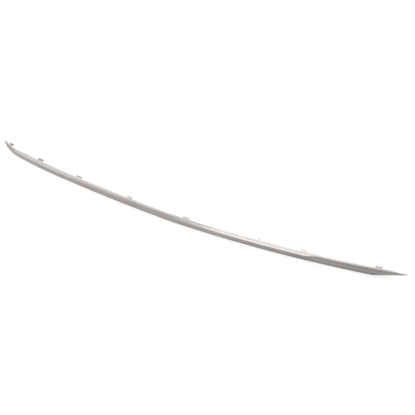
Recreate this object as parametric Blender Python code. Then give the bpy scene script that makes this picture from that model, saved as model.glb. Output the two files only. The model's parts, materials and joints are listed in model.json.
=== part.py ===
# Bumper trim strip: one moulding in plated plastic, standing on its lower edge.
# +X runs from the corner nose to the blade tip, +Y is the hidden rear side, +Z is up.
# Arc length s is measured along the front lower edge from the heel of the mitre:
# it grows towards the nose, and it is negative along the blade.
import math

import bmesh
import bpy
from mathutils import Matrix, Vector

MM = 0.001

# Plan of the front lower edge: tangent arcs from the heel of the mitre to the nose.
CENTRE_LENGTH, CENTRE_RADIUS = 384 * MM, 2110 * MM
KNEE_LENGTH, KNEE_RADIUS = 27 * MM, 590 * MM
SIDE_LENGTH, SIDE_RADIUS = 245 * MM, 3580 * MM
CORNER_LENGTH, CORNER_RADIUS = 115 * MM, 1150 * MM
NOSE_LENGTH, NOSE_RADIUS = 66 * MM, 125 * MM
BLADE_LENGTH = 63 * MM

# Cross-section of the channel, open towards the rear.
HEIGHT = 12.6 * MM
HEIGHT_AT_BLADE = 13.2 * MM
WALL = 2.2 * MM
FOOT_DEPTH = 5.6 * MM
DEPTH = 6.9 * MM
LAND_RISE = 0.4 * MM
BEVEL = 2.8 * MM
BEVEL_AT_WAIST = 1.2 * MM
BEVEL_ON_BLADE = 0.5 * MM
CORNER_ROUND = 0.5 * MM
FACE_ROUND = 0.8 * MM
REAR_ROUND = 0.4 * MM
REAR_ROOM = 3
INNER_CHAMFER = 0.4 * MM

# The bevel narrows over a waist along the side, where the land is wider instead.
WAIST_FROM_SIDE_START, WAIST_FROM_SIDE_END = 21 * MM, 64 * MM
WAIST_BLEND = 80 * MM

# Near the blade the face leans back over the bevel, with a shallow ridge along it.
LEAN_START, LEAN_END = 126 * MM, 100 * MM
COVE_SHARE, RIDGE_SHARE = 0.36, 0.68
COVE_DEPTH, RIDGE_DEPTH = 0.05 * MM, 0.6 * MM
SOFT_ROUND = 12 * MM

# The mitred blade runs to a point.
BLADE_FULL = 28 * MM
EDGE_ROOM = 5 * MM
BLADE_TIP_HEIGHT = 0.6 * MM
BLADE_TIP_DEPTH = 1.2 * MM
HOLLOW_MIN_HEIGHT = 8.5 * MM

# The section shrinks along the nose, whose end is closed and rounded.
NOSE_TAPER = 80 * MM
NOSE_SHARE = 0.52
NOSE_GROWTH = 1.2
NOSE_LIFT = 0.8 * MM
NOSE_ROUND = 2.5 * MM
NOSE_TIP_SHARE = 0.4
NOSE_WALL = 14 * MM

# Snap tabs along the rear of the land, with two stiffening ribs under each. They all
# point along +Y, the way the strip is pushed on, but the nose's tab points inwards.
TAB_WIDTH = 13 * MM
TAB_THICKNESS = 1.6 * MM
TAB_STEP_DOWN = 0.3 * MM
TAB_REACH = 3.2 * MM
CATCH_LENGTH = 7.5 * MM
CATCH_HEIGHT = 2.0 * MM
CATCH_FLAT = 0.9 * MM
CATCH_END = 1.3 * MM
NOSE_TAB_WIDTH = 9 * MM
NOSE_TAB_REACH = 2.4 * MM
NOSE_CATCH_LENGTH = 5.5 * MM
RIB_THICKNESS = 1.4 * MM
RIB_INSET = 2.2 * MM
TAB_ROUND = 0.25 * MM

# Places of the tabs along the strip, from the heel and the ends of the plan's arcs.
HEEL_TAB_INTO_BLADE = 8 * MM
JOG_TAB_AFTER_LEAN = 5 * MM
CENTRE_TAB_BEFORE_KNEE = 19 * MM
WAIST_TAB_INTO_SIDE = 81 * MM
SIDE_TAB_BEFORE_CORNER = 41 * MM
CORNER_TAB_BEFORE_NOSE = 55 * MM
NOSE_TAB_BEFORE_END = 24 * MM

# Locating pin on a rib, with a web on its corner side.
PIN_AFTER_LEAN = 93 * MM
PIN_DIAMETER = 5.4 * MM
PIN_LENGTH = 11 * MM
PIN_CHAMFER = 0.7 * MM
PIN_DROP = 3.0 * MM
PIN_ROOT = 1.7 * MM
PIN_WEB_LENGTH = 10 * MM
PIN_WEB_THICKNESS = 1.6 * MM

# Plating.
PLATING_COLOUR = (0.60, 0.58, 0.56, 1)
PLATING_ROUGHNESS = 0.28

# Mesh fineness.
STATION_SPACING = 12 * MM
STATION_TURN = math.radians(1.6)
DETAIL_SPACING = 3.5 * MM
CLOSED_SHARES = (0.08, 0.16, 0.34, 0.5)
NOSE_END_STEPS = 5
ROUND_STEPS = 3
ROUND_REACH = 0.45
TAB_ROUND_STEPS = 2
PIN_SIDES = 24
WELD = 0.01 * MM
SHARP_ANGLE = math.radians(35)
FLAT_ANGLE = math.radians(1)

PLAN = (
    (CENTRE_LENGTH, CENTRE_RADIUS),
    (KNEE_LENGTH, KNEE_RADIUS),
    (SIDE_LENGTH, SIDE_RADIUS),
    (CORNER_LENGTH, CORNER_RADIUS),
    (NOSE_LENGTH, NOSE_RADIUS),
)
RUN_LENGTH = sum(length for length, radius in PLAN)
SIDE_START = CENTRE_LENGTH + KNEE_LENGTH
SIDE_END = SIDE_START + SIDE_LENGTH
NOSE_START = RUN_LENGTH - NOSE_LENGTH
WAIST_START = SIDE_START + WAIST_FROM_SIDE_START
WAIST_END = SIDE_END - WAIST_FROM_SIDE_END
TAB_STATIONS = (
    -HEEL_TAB_INTO_BLADE,
    LEAN_START + JOG_TAB_AFTER_LEAN,
    CENTRE_LENGTH - CENTRE_TAB_BEFORE_KNEE,
    SIDE_START + WAIST_TAB_INTO_SIDE,
    SIDE_END - SIDE_TAB_BEFORE_CORNER,
    NOSE_START - CORNER_TAB_BEFORE_NOSE,
    RUN_LENGTH - NOSE_TAB_BEFORE_END,
)
PIN_STATION = LEAN_START + PIN_AFTER_LEAN


def clear_scene():
    for old in list(bpy.data.objects):
        bpy.data.objects.remove(old, do_unlink=True)


def new_collection(name):
    collection = bpy.data.collections.new(name)
    bpy.context.scene.collection.children.link(collection)
    return collection


def ease(start, end, s):
    """Smooth step from 0 at start to 1 at end."""
    u = min(max((s - start) / (end - start), 0.0), 1.0)
    return u * u * (3 - 2 * u)


def mix(a, b, share):
    return a + (b - a) * share


def arc_end(point, heading, length, radius):
    """End point and heading of an arc that leaves a point towards -X at heading 0."""
    turn = length / radius
    chord = 2 * radius * math.sin(turn / 2)
    middle = heading + turn / 2
    step = Vector((-math.cos(middle), math.sin(middle))) * chord
    return point + step, heading + turn


def plan_point(s):
    """Plan point and heading at arc length s, before the part is squared up."""
    point, heading = Vector((0.0, 0.0)), 0.0
    if s < 0:
        return arc_end(point, heading, s, CENTRE_RADIUS)
    left = s
    for length, radius in PLAN[:-1]:
        if left <= length:
            return arc_end(point, heading, left, radius)
        point, heading = arc_end(point, heading, length, radius)
        left -= length
    return arc_end(point, heading, left, NOSE_RADIUS)


def squared_plan():
    """Turn that lays the line between the two tips along X."""
    blade, _ = plan_point(-BLADE_LENGTH)
    nose, _ = plan_point(RUN_LENGTH)
    return math.atan2(blade.y - nose.y, blade.x - nose.x)


PLAN_TURN = squared_plan()


def frame_at(s):
    """Matrix of a cross-section: X along the strip to the blade, Y rearward, Z up."""
    point, heading = plan_point(s)
    turned = Matrix.Rotation(-PLAN_TURN, 4, "Z")
    place = Matrix.Translation((point.x, point.y, 0))
    return turned @ place @ Matrix.Rotation(-heading, 4, "Z")


def taper_at(s):
    """Share of the full section that is left at s: it shrinks along the nose."""
    u = max(s - (RUN_LENGTH - NOSE_TAPER), 0.0) / NOSE_TAPER
    return 1 - (1 - NOSE_SHARE) * u**NOSE_GROWTH


def bevel_at(s):
    waist = ease(WAIST_START - WAIST_BLEND, WAIST_START, s)
    waist -= ease(WAIST_END, WAIST_END + WAIST_BLEND, s)
    return mix(BEVEL, BEVEL_AT_WAIST, waist) * taper_at(s)


def top_at(s):
    return mix(HEIGHT, HEIGHT_AT_BLADE, ease(LEAN_START, LEAN_END, s)) * taper_at(s)


def low_at(s):
    """Height of the lower edge: on the floor, but rising along the mitre and the nose."""
    if s < 0:
        return (top_at(s) - BLADE_TIP_HEIGHT) * -s / BLADE_LENGTH
    return NOSE_LIFT * ease(RUN_LENGTH - NOSE_TAPER, RUN_LENGTH, s)


def end_share(s):
    """Share of the section that is left in the rounded end of the nose."""
    u = max(s - (RUN_LENGTH - NOSE_ROUND), 0.0) / NOSE_ROUND
    return NOSE_TIP_SHARE + (1 - NOSE_TIP_SHARE) * math.sqrt(max(1 - u * u, 0.0))


def rounded(corners):
    """Points of a path whose corners (y, z, radius) are rounded with short arcs."""
    points = []
    for index, (y, z, radius) in enumerate(corners):
        here = Vector((y, z))
        if index in (0, len(corners) - 1):
            points.append(here)
            continue
        before = Vector(corners[index - 1][:2]) - here
        after = Vector(corners[index + 1][:2]) - here
        half = before.angle(after) / 2
        room = ROUND_REACH * min(before.length, after.length)
        reach = min(radius / math.tan(half), room)
        start, end = here + before.normalized() * reach, here + after.normalized() * reach
        for step in range(ROUND_STEPS + 1):
            u = step / ROUND_STEPS
            points.append(start.lerp(here, u).lerp(here.lerp(end, u), u))
    return points


def outer_corners(s):
    """Outline from the rear of the foot, round the face, to the land's lower rear edge."""
    top, low, run = top_at(s), low_at(s), bevel_at(s)
    room = min((top - low) / EDGE_ROOM, 1.0)
    fade = 1 - ease(-BLADE_FULL, -BLADE_LENGTH, s)
    lean = ease(LEAN_START, LEAN_END, s)
    left = mix(run, BEVEL_ON_BLADE, lean) * mix(1, room, lean)
    shoulder = top - LAND_RISE * room
    crease = (run - left, shoulder - left)
    slope = crease[0] / crease[1]
    low_y = slope * low
    cove_z = mix(low, crease[1], COVE_SHARE)
    ridge_z = mix(low, crease[1], RIDGE_SHARE)
    dent = lean * fade * room
    rear_height = min(WALL, (top - low) / REAR_ROOM)
    foot_depth = mix(BLADE_TIP_DEPTH, FOOT_DEPTH, fade) * taper_at(s)
    depth = mix(run + BLADE_TIP_DEPTH, DEPTH * taper_at(s), fade)
    return [
        (low_y + foot_depth, low, 0),
        (low_y, low, FACE_ROUND),
        (slope * cove_z + dent * COVE_DEPTH, cove_z, SOFT_ROUND),
        (slope * ridge_z + dent * RIDGE_DEPTH, ridge_z, SOFT_ROUND),
        (*crease, CORNER_ROUND),
        (run, shoulder, CORNER_ROUND),
        (depth, top, REAR_ROUND),
        (depth, top - rear_height, 0),
    ]


def section_ring(s, hollow):
    """Closed ring of the channel's section at s; without its hollow it is solid."""
    corners = outer_corners(s)
    outer = rounded(corners)
    foot, heel, _, _, crease, shoulder, rear, lip = corners
    chamfer = max(INNER_CHAMFER, shoulder[0] - crease[0] - WALL * (2 - math.sqrt(2)))
    under = lip[1] - LAND_RISE
    inner = [
        (crease[0] + WALL + chamfer, under),
        (crease[0] + WALL, under - chamfer),
        (heel[0] + WALL, heel[1] + WALL),
        (foot[0], foot[1] + WALL),
    ]
    if not hollow:
        inner = [(mix(lip[0], foot[0], u), mix(lip[1], foot[1], u)) for u in CLOSED_SHARES]
    ring = outer + [Vector(point) for point in inner]
    middle = Vector(((heel[0] + rear[0]) / 2, (foot[1] + rear[1]) / 2))
    return [middle + (point - middle) * end_share(s) for point in ring]


def fill(start, end, spacing):
    count = max(1, math.ceil((end - start) / spacing - 1e-6))
    return [start + (end - start) * i / count for i in range(count)]


def hollow_ends():
    """Arc lengths between which the back of the section is open."""
    s = 0.0
    while top_at(s) - low_at(s) > HOLLOW_MIN_HEIGHT:
        s -= MM
    return s, RUN_LENGTH - NOSE_WALL


def stations():
    """Arc lengths of the sections, closer where the form changes quickly."""
    blade_wall, nose_wall = hollow_ends()
    marks = [-BLADE_LENGTH, blade_wall, 0, LEAN_END, LEAN_START]
    marks += [CENTRE_LENGTH, SIDE_START, SIDE_END, NOSE_START]
    marks += [RUN_LENGTH - NOSE_TAPER, nose_wall, RUN_LENGTH - NOSE_ROUND]
    marks = sorted(marks) + [RUN_LENGTH]
    result = []
    for a, b in zip(marks[:-1], marks[1:]):
        middle = (a + b) / 2
        spacing = STATION_SPACING
        if middle > RUN_LENGTH - NOSE_ROUND:
            spacing = NOSE_ROUND / NOSE_END_STEPS
        elif middle > NOSE_START:
            spacing = min(spacing, NOSE_RADIUS * STATION_TURN)
        elif middle < 0 or LEAN_END < middle < LEAN_START:
            spacing = DETAIL_SPACING
        result += fill(a, b, spacing)
    return result + [RUN_LENGTH]


def channel():
    """Loft of the changing section along the plan, closed at both ends."""
    blade_wall, nose_wall = hollow_ends()
    rings = []
    for s in stations():
        inside = blade_wall <= s <= nose_wall
        if s == blade_wall:
            rings.append((s, False))
        rings.append((s, inside))
        if s == nose_wall:
            rings.append((s, False))
    mesh = bpy.data.meshes.new("channel")
    shape = bmesh.new()
    loops = []
    for s, hollow in rings:
        matrix = frame_at(s)
        ring = section_ring(s, hollow)
        loops.append([shape.verts.new(matrix @ Vector((0, p.x, p.y))) for p in ring])
    for loop, following in zip(loops[:-1], loops[1:]):
        for i in range(len(loop)):
            j = (i + 1) % len(loop)
            shape.faces.new((loop[i], loop[j], following[j], following[i]))
    shape.faces.new(loops[0])
    shape.faces.new(reversed(loops[-1]))
    bmesh.ops.remove_doubles(shape, verts=shape.verts, dist=WELD)
    bmesh.ops.recalc_face_normals(shape, faces=shape.faces)
    shape.to_mesh(mesh)
    shape.free()
    return mesh


def round_edges(shape):
    """Round every sharp edge of a tab a little, as moulded plastic is."""
    bmesh.ops.dissolve_limit(
        shape, angle_limit=FLAT_ANGLE, verts=shape.verts, edges=shape.edges
    )
    sharp = [e for e in shape.edges if e.calc_face_angle(0) > SHARP_ANGLE]
    bmesh.ops.bevel(
        shape, geom=sharp, offset=TAB_ROUND, segments=TAB_ROUND_STEPS, profile=0.5,
        affect="EDGES"
    )


def extruded_outline(name, outline, width, matrix, soft=False):
    """A flat outline (y, z) extruded along the strip, centred on the matrix."""
    curve = bpy.data.curves.new(name, "CURVE")
    curve.dimensions = "2D"
    curve.fill_mode = "BOTH"
    curve.extrude = width / 2
    spline = curve.splines.new("POLY")
    spline.points.add(len(outline) - 1)
    for point, (y, z) in zip(spline.points, outline):
        point.co = (y, z, 0, 1)
    spline.use_cyclic_u = True
    holder = bpy.data.objects.new(name, curve)
    bpy.context.scene.collection.objects.link(holder)
    bpy.context.view_layer.update()
    graph = bpy.context.evaluated_depsgraph_get()
    mesh = bpy.data.meshes.new_from_object(holder.evaluated_get(graph))
    bpy.data.objects.remove(holder, do_unlink=True)
    shape = bmesh.new()
    shape.from_mesh(mesh)
    bmesh.ops.remove_doubles(shape, verts=shape.verts, dist=WELD)
    bmesh.ops.recalc_face_normals(shape, faces=shape.faces)
    if soft:
        round_edges(shape)
    # The curve's x, y and z become the section's Y, Z and X.
    upright = Matrix(((0, 0, 1, 0), (1, 0, 0, 0), (0, 1, 0, 0), (0, 0, 0, 1)))
    shape.transform(matrix @ upright)
    shape.to_mesh(mesh)
    shape.free()
    return mesh


def cutter(name, mesh, collection):
    piece = bpy.data.objects.new(name, mesh)
    piece.hide_render = True
    piece.display_type = "WIRE"
    collection.objects.link(piece)
    return piece


def rear_edge(s):
    """Depth and height of the land's rear edge."""
    corner = outer_corners(s)[-2]
    return corner[0], corner[1]


def tab_sizes(s):
    """Width, reach and catch length of the tab at s: the nose has a smaller one."""
    if s > NOSE_START:
        return NOSE_TAB_WIDTH, NOSE_TAB_REACH, NOSE_CATCH_LENGTH
    return TAB_WIDTH, TAB_REACH, CATCH_LENGTH


def tab_outline(s):
    """Side view of a snap tab: a plate, a catch that faces the strip, and a ramp."""
    depth, top = rear_edge(s)
    _, reach, length = tab_sizes(s)
    plate_top = top - TAB_STEP_DOWN
    plate_low = plate_top - TAB_THICKNESS
    catch = depth + reach
    root = depth - WALL / 2
    return [
        (root, plate_low),
        (catch + length, plate_low),
        (catch + length, plate_low + CATCH_END),
        (catch + CATCH_FLAT, plate_top + CATCH_HEIGHT),
        (catch, plate_top + CATCH_HEIGHT),
        (catch, plate_top),
        (root, plate_top),
    ]


def rib_outline(s, head):
    """Rib inside the channel, from the foot and the middle of the wall up to a head."""
    foot, heel, _, _, crease, shoulder, rear, _ = outer_corners(s)
    _, reach, _ = tab_sizes(s)
    sink = WALL / 2
    return [
        (heel[0] + sink, heel[1] + sink),
        (foot[0] - sink, heel[1] + sink),
        (rear[0] + reach - sink, head),
        (max(shoulder[0], crease[0] + sink), head),
        (crease[0] + sink, min(crease[1], head - sink)),
    ]


def turn_to_push(s):
    """Angle in plan from the section's rearward direction at s to +Y."""
    along = frame_at(s).col[0]
    return math.atan2(along.y, along.x)


def pushed_frame(s):
    """Section frame at s, sheared so that its rearward direction is +Y."""
    lean = Matrix.Identity(4)
    lean[0][1] = math.tan(turn_to_push(s))
    return frame_at(s) @ lean


def tab_meshes(index, s):
    """A snap tab and the ribs that carry it, with their sides along +Y."""
    matrix = pushed_frame(s) if s < NOSE_START else frame_at(s)
    width, _, _ = tab_sizes(s)
    meshes = [extruded_outline(f"tab_{index}", tab_outline(s), width, matrix, soft=True)]
    _, top = rear_edge(s)
    head = top - TAB_STEP_DOWN - TAB_THICKNESS / 2
    for side in (-1, 1):
        along = side * (width / 2 - RIB_INSET)
        place = matrix @ Matrix.Translation((along, 0, 0))
        name = f"rib_{index}_{side}"
        meshes.append(extruded_outline(name, rib_outline(s, head), RIB_THICKNESS, place))
    return meshes


def pin_mesh():
    """Round locating pin that points along +Y, with a chamfered end."""
    depth, top = rear_edge(PIN_STATION)
    radius = PIN_DIAMETER / 2
    length = PIN_ROOT + PIN_LENGTH
    mesh = bpy.data.meshes.new("pin")
    shape = bmesh.new()
    bmesh.ops.create_cone(
        shape, cap_ends=True, segments=PIN_SIDES, radius1=radius, radius2=radius, depth=length
    )
    rim = [e for e in shape.edges if all(v.co.z > 0 for v in e.verts)]
    bmesh.ops.bevel(shape, geom=rim, offset=PIN_CHAMFER, segments=1, affect="EDGES")
    lay = Matrix.Translation((0, depth - PIN_ROOT + length / 2, top - PIN_DROP))
    turned = frame_at(PIN_STATION) @ Matrix.Rotation(-turn_to_push(PIN_STATION), 4, "Z")
    shape.transform(turned @ lay @ Matrix.Rotation(-math.pi / 2, 4, "X"))
    shape.to_mesh(mesh)
    shape.free()
    return mesh


def pin_rib_mesh():
    """Rib inside the channel that carries the pin."""
    _, top = rear_edge(PIN_STATION)
    outline = rib_outline(PIN_STATION, top - PIN_DROP)
    return extruded_outline("pin_rib", outline, RIB_THICKNESS, pushed_frame(PIN_STATION))


def pin_web_mesh():
    """Flat web on the corner side of the pin, level with the tabs."""
    depth, top = rear_edge(PIN_STATION)
    plate_top = top - TAB_STEP_DOWN
    outline = [
        (depth - WALL / 2, plate_top - PIN_WEB_THICKNESS),
        (depth + TAB_REACH, plate_top - PIN_WEB_THICKNESS),
        (depth + TAB_REACH, plate_top),
        (depth - WALL / 2, plate_top),
    ]
    place = frame_at(PIN_STATION) @ Matrix.Translation((-PIN_WEB_LENGTH / 2, 0, 0))
    return extruded_outline("pin_web", outline, PIN_WEB_LENGTH, place, soft=True)


def stand_on_origin(strip, features):
    """Carry everything on an empty that puts the footprint's centre on the origin."""
    bpy.context.view_layer.update()
    graph = bpy.context.evaluated_depsgraph_get()
    mesh = bpy.data.meshes.new_from_object(strip.evaluated_get(graph))
    xs = [v.co.x for v in mesh.vertices]
    ys = [v.co.y for v in mesh.vertices]
    anchor = bpy.data.objects.new("anchor", None)
    bpy.context.scene.collection.objects.link(anchor)
    anchor.location = (-(min(xs) + max(xs)) / 2, -(min(ys) + max(ys)) / 2, 0)
    for piece in [strip, *features]:
        piece.parent = anchor


def plated_material():
    material = bpy.data.materials.new("plated_plastic")
    material.use_nodes = True
    shader = material.node_tree.nodes["Principled BSDF"]
    shader.inputs["Base Color"].default_value = PLATING_COLOUR
    shader.inputs["Metallic"].default_value = 1.0
    shader.inputs["Roughness"].default_value = PLATING_ROUGHNESS
    return material


def build():
    clear_scene()
    parts = new_collection("bumper_trim_strip")
    joined = new_collection("joined_features")
    strip = bpy.data.objects.new("trim_strip", channel())
    parts.objects.link(strip)
    strip.data.materials.append(plated_material())
    features = []
    for index, s in enumerate(TAB_STATIONS):
        features += tab_meshes(index, s)
    features += [pin_mesh(), pin_rib_mesh(), pin_web_mesh()]
    for mesh in features:
        union = strip.modifiers.new(mesh.name, "BOOLEAN")
        union.operation = "UNION"
        union.object = cutter(mesh.name, mesh, joined)
    strip.data.shade_smooth()
    strip.data.set_sharp_from_angle(angle=SHARP_ANGLE)
    stand_on_origin(strip, joined.objects)


build()
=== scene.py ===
import json
import math

import bpy
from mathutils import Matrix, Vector

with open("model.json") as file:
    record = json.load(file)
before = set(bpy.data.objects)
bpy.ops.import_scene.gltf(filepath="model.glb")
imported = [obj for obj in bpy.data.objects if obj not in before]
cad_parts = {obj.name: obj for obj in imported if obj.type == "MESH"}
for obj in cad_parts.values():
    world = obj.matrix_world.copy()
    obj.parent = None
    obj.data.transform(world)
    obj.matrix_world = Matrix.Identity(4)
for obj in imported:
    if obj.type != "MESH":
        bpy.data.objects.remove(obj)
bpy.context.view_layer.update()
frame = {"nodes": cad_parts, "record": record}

MM = 0.001

# Camera: a long lens above the strip, to the right of its middle. Lens and sensor are in mm,
# the angles in degrees.
LENS = 105.0
SENSOR = 36.0
ELEVATION = 36
AZIMUTH = 30.3386
DISTANCE = 2.30
LOOK_AT = Vector((0.029315, 0.040720, 0.0))

# Softboxes: azimuth and elevation in degrees, distance, width, height, radiance and colour.
# Where the strip mirrors one, its radiance adds to the backdrop's own level.
WHITE_LAMP = (1, 1, 1)
WARM_LAMP = (1.0, 1.0, 0.955)
TAN_LAMP = (1.0, 0.985, 0.92)
COOL_LAMP = (0.97, 1.0, 0.99)
SOFTBOXES = {
    "front_softbox": (-7, 51, 1.6, 0.88, 0.6, 1.9, WARM_LAMP),
    "core_softbox": (-17, 48, 1.6, 0.3, 0.35, 0.6, WARM_LAMP),
    "side_softbox": (-70, 28, 1.1, 0.9, 0.5, 1.0, TAN_LAMP),
    "side_core_softbox": (-71, 29, 1.1, 0.42, 0.30, 0.22, TAN_LAMP),
    "low_softbox": (6, 9, 2.0, 1.2, 0.5, 0.3, WHITE_LAMP),
    "back_softbox": (-148, 24.3, 1.9, 2.5, 1.71, 1.22, COOL_LAMP),
    "land_softbox": (-164.2, 54, 1.6, 0.64, 0.5, 1.45, COOL_LAMP),
}

# World: its level as light on the object, and its level as a backdrop, seen or mirrored.
WORLD_LIGHT = 0.64
BACKDROP = 1.0

# Floor: a lift is emission on top of the floor's lit colour. The camera sees one lift. The
# strip mirrors another, which falls from left to right, rises straight ahead of the strip
# and is shaded close to it.
FLOOR_SIZE = 12
FLOOR_COLOUR = (0.7, 0.7, 0.7, 1)
FLOOR_ROUGHNESS = 0.9
FLOOR_LIFT = 0.50
LEFT_X, LEFT_LIFT = 0.11, 0.80
RIGHT_X, RIGHT_LIFT = 0.31, 0.38
AHEAD_START_Y, AHEAD_END_Y, AHEAD_LIFT = -0.07, -0.15, 0.24
FLOOR_SHADE_DISTANCE = 0.06
FLOOR_SHADE = 0.5
FLOOR_SAMPLES = 8

# Plating: satin and warm on the show side. The tabs and the pin take a brighter, cooler copy of
# it, a painted reflection of the bright backdrop they mirror. Along X, that copy grows darker
# from the nose's start to its end, as painted shade.
TONE = (0.318, 0.2935, 0.286, 1)
# The darker tone serves both the random clouds and the painted shade in the hollows.
TONE_DARK_CLOUD_AND_SHADE = (0.291, 0.2685, 0.261, 1)
TONE_WORN = (0.46, 0.44, 0.43, 1)
TONE_TABS_PAINTED_REFLECTION = (0.68, 0.685, 0.69, 1)
TONE_TABS_NOSE_PAINTED_SHADE = (0.24, 0.237, 0.24, 1)
NOSE_END_X, NOSE_START_X = -0.42, -0.10
ROUGHNESS = (0.16, 0.22)

# Patterns: scale, detail and roughness of the noise, then the range of it that is used,
# or the strength and the depth of a bump.
CLOUDS, CLOUDS_RANGE = (22, 3.0, 0.55), (0.35, 0.65)
NICKS, NICKS_RANGE = (420, 3.0, 0.6), (0.42, 0.62)
SMUDGES, SMUDGES_RANGE = (55, 4.0, 0.6), (0.3, 0.7)
GRAIN, GRAIN_STRENGTH, GRAIN_DEPTH = (5200, 1.0, 0.5), 0.12, 0.02 * MM
PEEL, PEEL_STRENGTH, PEEL_DEPTH = (330, 2.0, 0.5), 0.16, 0.05 * MM

# Worn edges: radius of the rounded normal, its cosine to the true one where the wear starts
# and where it is full, and the roughness that the wear takes away.
EDGE_RADIUS = 0.5 * MM
EDGE_COSINES = (0.985, 0.86)
WEAR_POLISH = 0.06

# Hollow: painted shade darkens the tone where the surface is enclosed, and the roughness rises
# there.
# Reach of the shade, how open a place is where the shade is full and where it starts, and what
# the shade does to the tone and the roughness.
HOLLOW_REACH = 9 * MM
HOLLOW_FULL, HOLLOW_START = 0.25, 0.75
HOLLOW_PAINTED_SHADE, HOLLOW_ROUGHNESS = 0.35, 0.08

# Rays for the rounded normal and for the hollow's shade.
SAMPLES = 6

# Surface: points nearer than this are joined, and edges beyond this angle stay sharp.
MERGE_DISTANCE = 0.005 * MM
SHARP_ANGLE = math.radians(32)

# Tabs and pin: how far each mount lies behind the land, half the width of its root, where
# their painted reflection starts and is full behind the line through the roots, and how far
# from the origin the curve of that line reaches.
TAB_REACH, NOSE_TAB_REACH, PIN_REACH = 3.2 * MM, 2.4 * MM, 11.0 * MM
ROOT_HALF_WIDTH = 6.5 * MM
TABS_START, TABS_END = 0.6 * MM, 1.4 * MM
CURVE_SPAN_X, CURVE_SPAN_Y = 0.45, 0.04


def direction(azimuth, elevation):
    """Unit vector at an azimuth from -Y towards +X and an elevation, in degrees."""
    a, e = math.radians(azimuth), math.radians(elevation)
    return Vector((math.sin(a) * math.cos(e), -math.cos(a) * math.cos(e), math.sin(e)))


def add_camera():
    """Camera that looks at the strip from the photo's side."""
    data = bpy.data.cameras.new("camera")
    data.lens = LENS
    data.sensor_width = SENSOR
    camera = bpy.data.objects.new("camera", data)
    bpy.context.scene.collection.objects.link(camera)
    away = direction(AZIMUTH, ELEVATION)
    camera.location = LOOK_AT + away * DISTANCE
    camera.rotation_euler = (-away).to_track_quat("-Z", "Y").to_euler()
    bpy.context.scene.camera = camera


def add_softbox(name, azimuth, elevation, distance, width, height, radiance, colour):
    """Rectangular lamp that faces the origin and that the camera doesn't see."""
    data = bpy.data.lights.new(name, "AREA")
    data.color = colour
    data.shape = "RECTANGLE"
    data.size = width
    data.size_y = height
    # A flat lamp gives off pi times its radiance per area.
    data.energy = radiance * math.pi * width * height
    lamp = bpy.data.objects.new(name, data)
    bpy.context.scene.collection.objects.link(lamp)
    away = direction(azimuth, elevation)
    lamp.location = away * distance
    lamp.rotation_euler = (-away).to_track_quat("-Z", "Y").to_euler()
    lamp.visible_camera = False


class Nodes:
    """Short calls for building a node tree."""

    def __init__(self, tree):
        self.tree = tree

    def add(self, kind, inputs=None, **settings):
        node = self.tree.nodes.new(kind)
        for name, value in settings.items():
            setattr(node, name, value)
        for name, value in (inputs or {}).items():
            self.put(value, node.inputs[name])
        return node

    def put(self, value, socket):
        if isinstance(value, bpy.types.NodeSocket):
            self.tree.links.new(value, socket)
        else:
            socket.default_value = value

    def noise(self, vector, scale, detail, roughness):
        inputs = {"Vector": vector, "Scale": scale, "Detail": detail, "Roughness": roughness}
        return self.add("ShaderNodeTexNoise", inputs).outputs["Fac"]

    def range(self, value, low, high, to_low=0.0, to_high=1.0):
        inputs = {"Value": value, "From Min": low, "From Max": high,
                  "To Min": to_low, "To Max": to_high}
        return self.add("ShaderNodeMapRange", inputs).outputs["Result"]

    def math(self, operation, a, b):
        return self.add("ShaderNodeMath", {0: a, 1: b}, operation=operation).outputs[0]

    def mix_colour(self, share, a, b):
        # Sockets 6 and 7 are the node's two colours, and output 2 is their mix.
        node = self.add("ShaderNodeMix", data_type="RGBA")
        self.put(share, node.inputs[0])
        self.put(a, node.inputs[6])
        self.put(b, node.inputs[7])
        return node.outputs[2]


def roots():
    """Both ends in plan of each tab's and the pin's root, at the land's rear edge."""
    reaches = {"tab_nose": NOSE_TAB_REACH, "pin_end": PIN_REACH}
    ends = []
    for mount in frame["record"]["mounts"]:
        if mount["name"] == "rest_edge":
            continue
        front = Vector(mount["axis"])
        if front.y > 0:
            front.negate()
        root = Vector(mount["pos_m"]) + front * reaches.get(mount["name"], TAB_REACH)
        along = Vector((-front.y, front.x, 0)) * ROOT_HALF_WIDTH
        ends += [root - along, root + along]
    return sorted(end.to_2d()[:] for end in ends)


def behind_land(n, place):
    """1 on the tabs and the pin, which lie behind a line through their roots, 0 elsewhere."""
    xyz = n.add("ShaderNodeSeparateXYZ", {"Vector": place}).outputs
    line = n.add("ShaderNodeFloatCurve")
    curve = line.mapping.curves[0]
    ends = roots()
    # The curve runs from 0 to 1 both ways, with the strip's origin at a half.
    while len(curve.points) < len(ends):
        curve.points.new(0.5, 0.5)
    for point, (x, y) in zip(curve.points, ends):
        point.location = (0.5 + x / CURVE_SPAN_X / 2, 0.5 + y / CURVE_SPAN_Y / 2)
        point.handle_type = "VECTOR"
    line.mapping.update()
    n.put(n.range(xyz["X"], -CURVE_SPAN_X, CURVE_SPAN_X), line.inputs["Value"])
    line_y = n.range(line.outputs["Value"], 0, 1, -CURVE_SPAN_Y, CURVE_SPAN_Y)
    return n.range(n.math("SUBTRACT", xyz["Y"], line_y), TABS_START, TABS_END)


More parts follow.
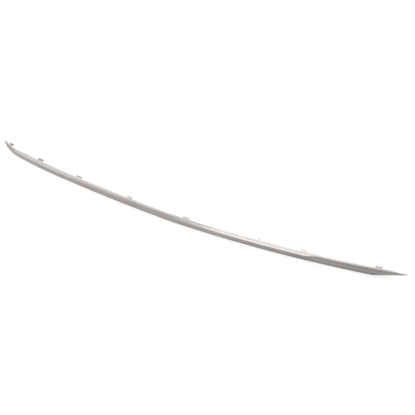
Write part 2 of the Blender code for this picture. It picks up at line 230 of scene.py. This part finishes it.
def plated_material():
    """Satin plating: soft cloudy tone, fine grain, worn edges, painted shade and more roughness
    in the hollows, and a painted reflection that lightens the tabs.
    """
    material = bpy.data.materials.new("plated_plastic_look")
    material.use_nodes = True
    n = Nodes(material.node_tree)
    shader = material.node_tree.nodes["Principled BSDF"]
    place = n.add("ShaderNodeTexCoord").outputs["Object"]

    # Edges: where the rounded normal leaves the true one.
    geometry = n.add("ShaderNodeNewGeometry")
    bevel = n.add("ShaderNodeBevel", {"Radius": EDGE_RADIUS}, samples=SAMPLES)
    cosine = n.add("ShaderNodeVectorMath", operation="DOT_PRODUCT")
    n.put(bevel.outputs["Normal"], cosine.inputs[0])
    n.put(geometry.outputs["Normal"], cosine.inputs[1])
    edge = n.range(cosine.outputs["Value"], *EDGE_COSINES)
    nicks = n.range(n.noise(place, *NICKS), *NICKS_RANGE)
    wear = n.math("MULTIPLY", edge, nicks)

    clouds = n.range(n.noise(place, *CLOUDS), *CLOUDS_RANGE)
    hollow = n.add("ShaderNodeAmbientOcclusion", {"Distance": HOLLOW_REACH}, samples=SAMPLES)
    shade = n.range(hollow.outputs["AO"], HOLLOW_FULL, HOLLOW_START, 1, 0)

    tone = n.mix_colour(clouds, TONE, TONE_DARK_CLOUD_AND_SHADE)
    # Painted shade: the tone darkens where the occlusion finds the surface enclosed.
    tone = n.mix_colour(n.math("MULTIPLY", shade, HOLLOW_PAINTED_SHADE), tone, TONE_DARK_CLOUD_AND_SHADE)
    # Painted light: the tabs and the pin take a lighter, cooler copy of the tone that stands in
    # for the backdrop they mirror, darkened towards the nose as painted shade.
    x = n.add("ShaderNodeSeparateXYZ", {"Vector": place}).outputs["X"]
    tabs = n.mix_colour(n.range(x, NOSE_END_X, NOSE_START_X), TONE_TABS_NOSE_PAINTED_SHADE, TONE_TABS_PAINTED_REFLECTION)
    tone = n.mix_colour(behind_land(n, place), tone, tabs)
    tone = n.mix_colour(wear, tone, TONE_WORN)
    n.put(tone, shader.inputs["Base Color"])
    shader.inputs["Metallic"].default_value = 1.0

    smudges = n.noise(place, *SMUDGES)
    rough = n.range(smudges, *SMUDGES_RANGE, *ROUGHNESS)
    rough = n.math("ADD", rough, n.math("MULTIPLY", shade, HOLLOW_ROUGHNESS))
    rough = n.math("SUBTRACT", rough, n.math("MULTIPLY", wear, WEAR_POLISH))
    n.put(rough, shader.inputs["Roughness"])

    grain = n.add("ShaderNodeBump", {
        "Height": n.noise(place, *GRAIN), "Strength": GRAIN_STRENGTH, "Distance": GRAIN_DEPTH,
    })
    peel = n.add("ShaderNodeBump", {
        "Height": n.noise(place, *PEEL), "Strength": PEEL_STRENGTH, "Distance": PEEL_DEPTH,
        "Normal": grain.outputs["Normal"],
    })
    n.put(peel.outputs["Normal"], shader.inputs["Normal"])
    return material


def smooth_surface(piece):
    """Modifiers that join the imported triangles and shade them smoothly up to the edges."""
    group = bpy.data.node_groups.new("smooth_surface", "GeometryNodeTree")
    group.interface.new_socket("Mesh", in_out="INPUT", socket_type="NodeSocketGeometry")
    group.interface.new_socket("Mesh", in_out="OUTPUT", socket_type="NodeSocketGeometry")
    n = Nodes(group)
    start = n.add("NodeGroupInput").outputs[0]
    merged = n.add("GeometryNodeMergeByDistance", {"Geometry": start, "Distance": MERGE_DISTANCE})
    plain = n.add("GeometryNodeRemoveAttribute",
                  {"Geometry": merged.outputs[0], "Name": "custom_normal"})
    smooth = n.add("GeometryNodeSetShadeSmooth",
                   {"Geometry": plain.outputs[0], "Shade Smooth": True}, domain="FACE")
    angle = n.add("GeometryNodeInputMeshEdgeAngle").outputs["Unsigned Angle"]
    sharp = n.add("FunctionNodeCompare", operation="GREATER_THAN")
    n.put(angle, sharp.inputs["A"])
    n.put(SHARP_ANGLE, sharp.inputs["B"])
    edges = n.add("GeometryNodeSetShadeSmooth", {
        "Geometry": smooth.outputs[0], "Selection": sharp.outputs[0], "Shade Smooth": False,
    }, domain="EDGE")
    end = n.add("NodeGroupOutput")
    n.put(edges.outputs[0], end.inputs[0])
    piece.modifiers.new("smooth_surface", "NODES").node_group = group
    weighted = piece.modifiers.new("weighted_normals", "WEIGHTED_NORMAL")
    weighted.mode = "FACE_AREA_WITH_ANGLE"
    weighted.keep_sharp = True


def add_floor():
    """White floor that keeps the strip's shadow and has its own lift in reflections."""
    bpy.ops.mesh.primitive_plane_add(size=FLOOR_SIZE)
    floor = bpy.context.object
    floor.name = "floor"
    material = bpy.data.materials.new("floor")
    material.use_nodes = True
    n = Nodes(material.node_tree)
    shader = material.node_tree.nodes["Principled BSDF"]
    shader.inputs["Base Color"].default_value = FLOOR_COLOUR
    shader.inputs["Roughness"].default_value = FLOOR_ROUGHNESS
    shader.inputs["Specular IOR Level"].default_value = 0.0
    path = n.add("ShaderNodeLightPath").outputs
    place = n.add("ShaderNodeTexCoord").outputs["Object"]
    xyz = n.add("ShaderNodeSeparateXYZ", {"Vector": place}).outputs
    openness = n.add("ShaderNodeAmbientOcclusion", {"Distance": FLOOR_SHADE_DISTANCE},
                     samples=FLOOR_SAMPLES).outputs["AO"]
    shaded = n.range(openness, 0, 1, 1 - FLOOR_SHADE, 1)
    sideways = n.range(xyz["X"], LEFT_X, RIGHT_X, LEFT_LIFT, RIGHT_LIFT)
    reflected = n.math("MULTIPLY", sideways, shaded)
    ahead = n.range(xyz["Y"], AHEAD_START_Y, AHEAD_END_Y, 0, AHEAD_LIFT)
    reflected = n.math("ADD", reflected, ahead)
    mirrored = n.math("MAXIMUM", path["Is Glossy Ray"], path["Is Transmission Ray"])
    lift = n.math("MULTIPLY", mirrored, reflected)
    lift = n.math("ADD", lift, n.math("MULTIPLY", path["Is Camera Ray"], FLOOR_LIFT))
    shader.inputs["Emission Color"].default_value = (1, 1, 1, 1)
    n.put(lift, shader.inputs["Emission Strength"])
    floor.data.materials.append(material)


def seen_directly(n):
    """1 for camera, glossy and transmission rays, 0 for light on the object."""
    path = n.add("ShaderNodeLightPath").outputs
    seen = n.math("MAXIMUM", path["Is Camera Ray"], path["Is Glossy Ray"])
    return n.math("MAXIMUM", seen, path["Is Transmission Ray"])


def add_world():
    """White world that is dimmer as light than it looks."""
    world = bpy.data.worlds.new("studio")
    world.use_nodes = True
    n = Nodes(world.node_tree)
    back = world.node_tree.nodes["Background"]
    back.inputs["Color"].default_value = (1, 1, 1, 1)
    n.put(n.range(seen_directly(n), 0, 1, WORLD_LIGHT, BACKDROP), back.inputs["Strength"])
    bpy.context.scene.world = world


add_camera()
add_floor()
add_world()
for name, softbox in SOFTBOXES.items():
    add_softbox(name, *softbox)
strip = frame["nodes"]["trim_strip"]
smooth_surface(strip)
strip.data.materials.clear()
strip.data.materials.append(plated_material())
bpy.context.scene.view_settings.view_transform = "Standard"
